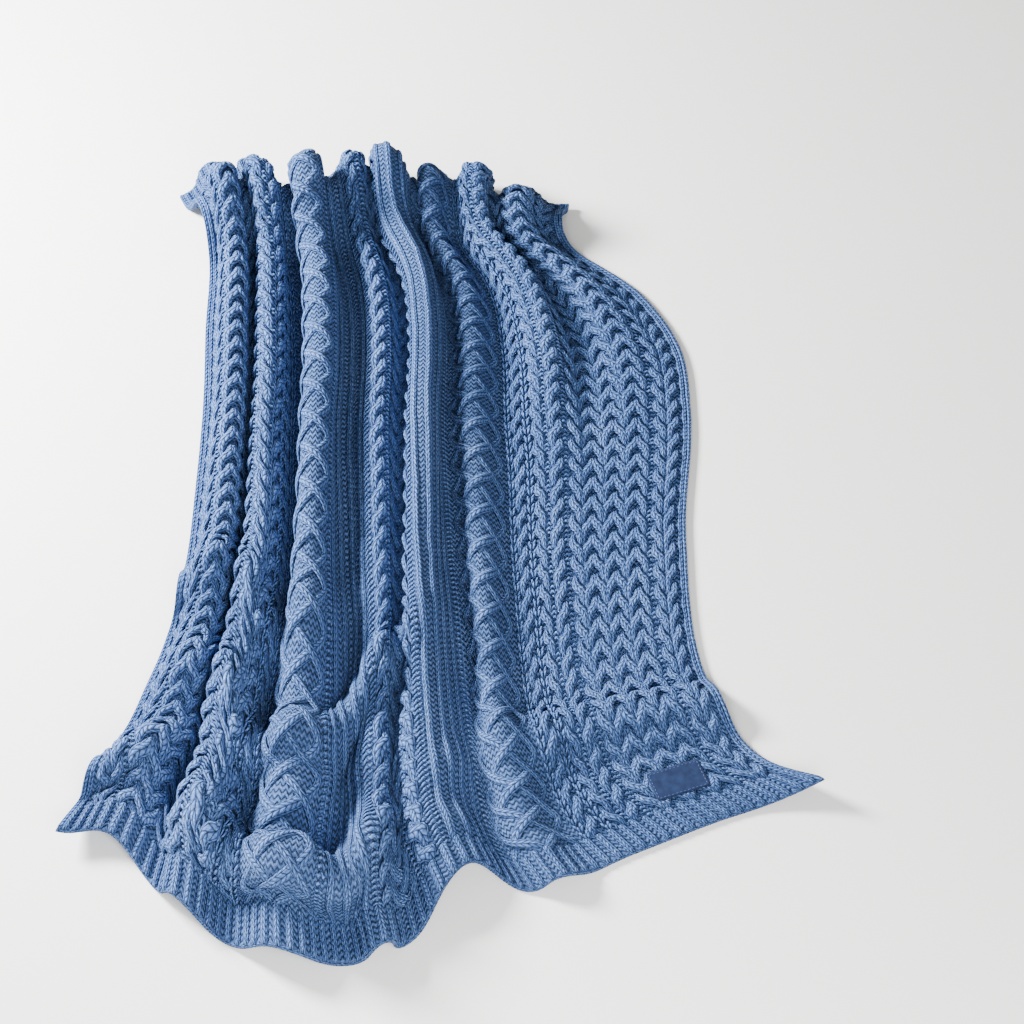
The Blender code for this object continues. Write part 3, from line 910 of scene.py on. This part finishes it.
# %% [markdown]
# ## The patch
#
# A small plain patch of suede is sewn flat over the cables near the right corner. It starts as a
# grid the size of the patch, its corners are rounded, and a second face below it gives it the
# thickness of thin suede. It sags a little between the cables, and a row of small stitches runs
# round it, sunk into the nap.

# %% Cut the patch
PATCH_CORNER = 0.004
PATCH_STEPS = (40, 24)
SAG_ACROSS = 0.021
SAG_ALONG = 0.040

def patch_height(x, y):
    """How the patch gives with the knit below it: a slight sag between the cables."""
    waves = np.sin(x / SAG_ACROSS * 2 * math.pi) * np.cos(y / SAG_ALONG * 2 * math.pi)
    return PATCH_SAG * waves

def to_patch(x, y, z):
    """Points in the patch's own directions, put in their place."""
    c, s = math.cos(PATCH_TURN), math.sin(PATCH_TURN)
    return PATCH_PLACE + np.stack([c * x - s * y, s * x + c * y, z], -1)

def cut_patch():
    """A thin slab with its corners drawn in to quarter circles."""
    u, w = np.meshgrid(*(np.linspace(-1, 1, steps) for steps in PATCH_STEPS), indexing="ij")
    x, y = u * PATCH_WIDTH / 2, w * PATCH_DEPTH / 2
    in_x = np.maximum(np.abs(x) - PATCH_WIDTH / 2 + PATCH_CORNER, 0)
    in_y = np.maximum(np.abs(y) - PATCH_DEPTH / 2 + PATCH_CORNER, 0)
    pull = PATCH_CORNER / np.maximum(np.hypot(in_x, in_y), PATCH_CORNER)
    x = np.sign(x) * (np.abs(x) - in_x * (1 - pull))
    y = np.sign(y) * (np.abs(y) - in_y * (1 - pull))
    z = patch_height(x, y)
    top, under = to_patch(x, y, z + PATCH_THICK / 2), to_patch(x, y, z - PATCH_THICK / 2)
    return slab("suede_patch", x, y, top, under)

patch = cut_patch()

# %% Sew it on
# The seam's way in from the edge, the pitch of its stitches, and one stitch of the thread
SEAM_INSET = 0.0030
SEAM_PITCH = 0.0058
THREAD_STITCH = 0.0038
THREAD_RADIUS = 0.0005
THREAD_TAPER = 0.92
THREAD_POINTS = 5
THREAD_SIDES = 6

def seam():
    """One small closed tube for each stitch round the patch."""
    half_x, half_y = PATCH_WIDTH / 2 - SEAM_INSET, PATCH_DEPTH / 2 - SEAM_INSET
    stitches = []
    for half, other, turned in ((half_x, half_y, False), (half_y, half_x, True)):
        count = round(2 * half / SEAM_PITCH)
        for k in range(count):
            place = ((k + 0.5) / count * 2 - 1) * half
            stitches += [(place, other, turned), (place, -other, turned)]
    t = np.linspace(-1, 1, THREAD_POINTS)[None, :, None]
    turn = (np.arange(THREAD_SIDES) / THREAD_SIDES * 2 * math.pi)[None, None, :]
    place, other, turned = (np.array(x, float)[:, None, None] for x in zip(*stitches))
    radius = THREAD_RADIUS * np.sqrt(1 - THREAD_TAPER * t * t)
    ahead = place + THREAD_STITCH / 2 * t + 0 * turn
    aside = other + radius * np.cos(turn)
    x = np.where(turned > 0, aside, ahead)
    y = np.where(turned > 0, ahead, aside)
    z = patch_height(x, y) + PATCH_THICK / 2 + radius * np.sin(turn) * np.where(turned > 0, -1, 1)
    number, faces, caps = tube_faces(len(stitches), THREAD_POINTS, THREAD_SIDES)
    return mesh_piece("patch_seam", to_patch(x, y, z), faces, caps, np.zeros((0, 2)))

patch_seam = seam()

# %% [markdown]
# ## Yarn
#
# The yarn is a soft wool and acrylic mix, spun from fibres dyed in three blues, so it looks
# marled: no two stitches have quite the same tone. It has no gloss, only the soft sheen of loose
# fibres. Smooth knitting shows as nested Vs, purl as wavy rows of bumps, and the gaps between
# stitches get painted shade, because little light gets in. The purl ground, low between the
# cables, also gets painted shade all over. Both patterns read the UV map.

# %% Nodes and colours
def linear(code):
    """A hex colour as the linear values that Blender works in."""
    channels = [int(code[i : i + 2], 16) / 255 for i in (1, 3, 5)]
    return (*[c / 12.92 if c < 0.04045 else ((c + 0.055) / 1.055) ** 2.4 for c in channels], 1)

def add_node(tree, kind, inputs=None, **settings):
    """Adds a node, applies its settings, and sets or links its inputs."""
    node = tree.nodes.new("ShaderNode" + kind)
    for name, value in settings.items():
        setattr(node, name, value)
    for socket, value in (inputs or {}).items():
        if isinstance(value, bpy.types.NodeSocket):
            tree.links.new(value, node.inputs[socket])
        else:
            node.inputs[socket].default_value = value
    return node

def calculate(tree, operation, *values):
    """The output of one Math node."""
    return add_node(tree, "Math", dict(enumerate(values)), operation=operation).outputs[0]

def new_material(name, settings):
    """A material, its node tree, and its shader with these settings."""
    material = bpy.data.materials.new(name)
    material.use_nodes = True
    tree = material.node_tree
    shader = tree.nodes["Principled BSDF"]
    for socket, value in settings.items():
        shader.inputs[socket].default_value = value
    return material, tree, shader

def noise(tree, where, scale, detail=2.0):
    """The value of a noise with so many features to a metre of the piece."""
    inputs = {"Vector": where.outputs["Object"], "Scale": scale, "Detail": detail}
    return add_node(tree, "TexNoise", inputs).outputs[0]

def tones(tree, value, stops):
    """A colour for each value, from stops of a place and a hex colour."""
    ramp = add_node(tree, "ValToRGB", {0: value})
    for _ in stops[2:]:
        ramp.color_ramp.elements.new(0.5)
    for element, (place, code) in zip(ramp.color_ramp.elements, stops):
        element.position = place
        element.color = linear(code)
    return ramp.outputs[0]

def link_surface(tree, shader, colour, height, distance):
    """Links a colour to the shader, and bumps that stand up by this distance."""
    tree.links.new(colour, shader.inputs["Base Color"])
    bump = add_node(tree, "Bump", {"Height": height, "Distance": distance})
    tree.links.new(bump.outputs[0], shader.inputs["Normal"])

# %% Spin the yarn
# The near black of the painted shade in the gaps between stitches, and the marl's three blues
YARN_SHADOW = "#04070F"
YARN_TONES = [(0.0, "#2A3D68"), (0.5, "#4A6AA4"), (1.0, "#7894CA")]

# Smooth stitches: how steeply the legs slant, how round they are, and how soon they fall off
LEG_SLANT = -0.9
LEG_ROUNDNESS = 0.8
LEG_FALL = 2.2

def round_rows(tree, row, roundness):
    """The height of round rows, 0 to 1, with one row to a unit."""
    wave = calculate(tree, "SINE", calculate(tree, "MULTIPLY", row, math.pi))
    return calculate(tree, "POWER", calculate(tree, "ABSOLUTE", wave), roundness)

def smooth_stitches(tree, across, along):
    """The height of smooth knitting, 0 to 1: legs in nested Vs, one stitch to a unit."""
    place = calculate(tree, "FRACT", across)
    off_centre = calculate(tree, "ABSOLUTE", calculate(tree, "SUBTRACT", place, 0.5))
    spread = calculate(tree, "MULTIPLY", off_centre, 2.0)
    slanting = calculate(tree, "MULTIPLY_ADD", spread, LEG_SLANT, along)
    leg = round_rows(tree, slanting, LEG_ROUNDNESS)
    from_leg = calculate(tree, "ABSOLUTE", calculate(tree, "MULTIPLY_ADD", spread, 2.0, -1.0))
    falls = calculate(tree, "POWER", from_leg, LEG_FALL)
    return calculate(tree, "MULTIPLY", leg, calculate(tree, "SUBTRACT", 1.0, falls))

# Purl: its rows and stitches, coarser than real as above, how wavy a row is, and how round
PURL_ROW = 0.0088
PURL_STITCH = 0.0084
PURL_SWAY = 0.24
PURL_ROUNDNESS = 0.7

def purl_bumps(tree, across, along):
    """The height of purl, 0 to 1: level bumps in wavy rows, with the UV map in metres."""
    turn = calculate(tree, "MULTIPLY", across, 2 * math.pi / PURL_STITCH)
    sway = calculate(tree, "MULTIPLY", calculate(tree, "SINE", turn), PURL_SWAY)
    row = calculate(tree, "DIVIDE", along, PURL_ROW)
    return round_rows(tree, calculate(tree, "ADD", row, sway), PURL_ROUNDNESS)

# Features to a metre: fibres of 1.4 mm, coarser than real or they wouldn't show, flecks of marl
# of 4 mm, and clouds of 11 cm. Then how much they add to the marl's tone and to the bumps, and
# how the tone is spread out and darkened.
FIBRES = 700.0
MARL = 260.0
CLOUDS = 9.0
CLOUD_TONE = 0.25
FIBRE_TONE = 0.2
FIBRE_BUMP = 0.12
CONTRAST = 1.5
DARKENING = -0.58

# Rough, with loose fibres that shine softly at a glancing look, in a paler blue
YARN_SURFACE = {
    "Roughness": 0.85,
    "Specular IOR Level": 0.12,
    "Sheen Weight": 0.12,
    "Sheen Tint": linear("#8FB4F0"),
    "Sheen Roughness": 0.6,
}

def yarn_material(name, pattern, depth, gap_shade_height, light):
    """Blue marled yarn, knitted in the given pattern: how deep its stitches are, up to what
    height the gaps between them get painted shade, and how much of the marl's colour is left on
    the highest bumps, the rest being painted shade all over."""
    material, tree, shader = new_material(name, YARN_SURFACE)
    where = add_node(tree, "TexCoord")
    uv = add_node(tree, "SeparateXYZ", {0: where.outputs["UV"]})
    height = pattern(tree, uv.outputs[0], uv.outputs[1])
    fibre = noise(tree, where, FIBRES)
    cloud = noise(tree, where, CLOUDS, 1.0)
    tone = calculate(tree, "MULTIPLY_ADD", cloud, CLOUD_TONE, noise(tree, where, MARL))
    tone = calculate(tree, "MULTIPLY_ADD", fibre, FIBRE_TONE, tone)
    tone = calculate(tree, "MULTIPLY_ADD", tone, CONTRAST, DARKENING)
    marled = tones(tree, tone, YARN_TONES)
    # Painted shade: the marl is mixed towards the near black of YARN_SHADOW where the bumps are
    # low, in the gaps between stitches, and everywhere by the share that light leaves out.
    lit = add_node(tree, "MapRange", {0: height, 1: 0.0, 2: gap_shade_height, 3: 0.0, 4: light}).outputs[0]
    inputs = {0: lit, 6: linear(YARN_SHADOW), 7: marled}
    colour = add_node(tree, "Mix", inputs, data_type="RGBA").outputs[2]
    rough = calculate(tree, "MULTIPLY_ADD", fibre, FIBRE_BUMP, height)
    link_surface(tree, shader, colour, rough, depth)
    return material

# Both knits are one yarn. The purl ground keeps only 0.66 of the marl's colour and is painted
# shade for the rest, because it lies low between the raised cables; the smooth knit is painted
# dark only in its gaps.
smooth_yarn = yarn_material("blue marled yarn, smooth knit", smooth_stitches, 0.0021, 0.62, 1.0)
purl_yarn = yarn_material("blue marled yarn, purl", purl_bumps, 0.0040, 0.92, 0.66)

ground.data.materials.append(purl_yarn)
raised = ropes + lattices + [plait] + rib_blocks + [selvedges] + hem_ribs + cast_edges
raised += chains + ladders
for piece in raised:
    piece.data.materials.append(smooth_yarn)

# %% [markdown]
# ## Suede and thread
#
# The patch is thin split suede, dyed dark blue. Suede is leather brushed until its fibres stand
# up, so it has no gloss, and its nap shows as soft uneven patches of lighter and darker blue. It
# is sewn on with polyester thread in a blue a little lighter than the suede.

# %% Brush the suede
# Features to a metre: brushed patches of 8 mm, and a nap of 0.7 mm, coarser than real or it
# wouldn't show. Then how deep the nap is.
BRUSHED = 120.0
NAP = 1500.0
NAP_DEPTH = 0.0003
SUEDE_TONES = [(0.3, "#101C38"), (0.7, "#182848")]
SUEDE_SURFACE = {"Roughness": 0.9, "Specular IOR Level": 0.12, "Sheen Weight": 0.08}

def suede_material():
    """Dyed split suede: dull and dark, with a fine nap brushed this way and that."""
    material, tree, shader = new_material("dark blue suede", SUEDE_SURFACE)
    where = add_node(tree, "TexCoord")
    colour = tones(tree, noise(tree, where, BRUSHED, 4.0), SUEDE_TONES)
    link_surface(tree, shader, colour, noise(tree, where, NAP), NAP_DEPTH)
    return material

patch.data.materials.append(suede_material())

# %% Twist the thread
# Features to a metre: one turn of a ply is 0.7 mm. Then how deep its twist is.
PLIES = 1400.0
PLY_DEPTH = 0.0002
THREAD_TONES = [(0.35, "#1F3362"), (0.65, "#385290")]

def thread_material():
    """Polyester sewing thread: a little smoother than the nap around it, with plies that catch
    the light in turn."""
    material, tree, shader = new_material("dark blue sewing thread", {"Roughness": 0.6})
    plies = noise(tree, add_node(tree, "TexCoord"), PLIES)
    link_surface(tree, shader, tones(tree, plies, THREAD_TONES), plies, PLY_DEPTH)
    return material

patch_seam.data.materials.append(thread_material())

# %% [markdown]
# ## Tie the pieces to the frame
#
# The blanket has no moving parts, so everything rides on its one body. The knitted pieces stand
# for the CAD cloth, and the suede with its seam for the CAD patch.

for piece in [ground] + raised:
    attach(piece, "root")
    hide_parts("blanket")
for piece in (patch, patch_seam):
    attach(piece, "root")
    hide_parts("label_patch")

# %% [markdown]
# ## Floor, light and camera
#
# The floor is plain and pale. A low light on the left brings out the cables, a weaker one in
# front brightens the hem and the heap as in the photo, and an even light from all round keeps
# the shadows open. The camera looks down at the near end from as high as the photo's does.

# %% Lay the floor
# Its paint is rolled on, matt and even, so that nothing but the blanket's shadow shows on it
FLOOR_SIZE = 9
MATT_PAINT = {"Roughness": 0.8, "Base Color": linear("#F4F4F2")}
bpy.ops.mesh.primitive_plane_add(size=FLOOR_SIZE, location=(0, 0, 0))
floor = bpy.context.object
floor.name = "floor"
floor.data.materials.append(new_material("pale matt floor paint", MATT_PAINT)[0])

# %% Set the lights
AROUND_COLOUR = (1.0, 0.98, 0.96, 1)
AROUND_STRENGTH = 0.46
Lamp = namedtuple("Lamp", "name place size watts")
LAMPS = [
    Lamp("key light", (-2.05, 0.85, 1.30), 0.7, 430),
    Lamp("fill light", (0.20, -1.75, 1.25), 1.0, 58),
]
for lamp in LAMPS:
    light = bpy.data.lights.new(lamp.name, "AREA")
    light.energy = lamp.watts
    light.size = lamp.size
    holder = bpy.data.objects.new(lamp.name, light)
    bpy.context.scene.collection.objects.link(holder)
    holder.location = lamp.place
    holder.rotation_euler = (-Vector(lamp.place)).to_track_quat("-Z", "Y").to_euler()
world = bpy.data.worlds.new("soft studio")
bpy.context.scene.world = world
world.use_nodes = True
world.node_tree.nodes["Background"].inputs[0].default_value = AROUND_COLOUR
world.node_tree.nodes["Background"].inputs[1].default_value = AROUND_STRENGTH

# %% Place the camera
ELEVATION = math.radians(52)
DISTANCE = 4.2
LENS = 100.0
SENSOR = 36.0
AIM = np.array([0.0, 0.0, 0.03])
SHIFT = (0.068, 0.003)
backwards = np.array([0.0, -math.cos(ELEVATION), math.sin(ELEVATION)])
camera = bpy.data.cameras.new("camera")
camera.lens = LENS
camera.sensor_width = SENSOR
camera.shift_x, camera.shift_y = SHIFT
camera_object = bpy.data.objects.new("camera", camera)
bpy.context.scene.collection.objects.link(camera_object)
camera_object.location = Vector(AIM + backwards * DISTANCE)
camera_object.rotation_euler = Vector(-backwards).to_track_quat("-Z", "Y").to_euler()
bpy.context.scene.camera = camera_object
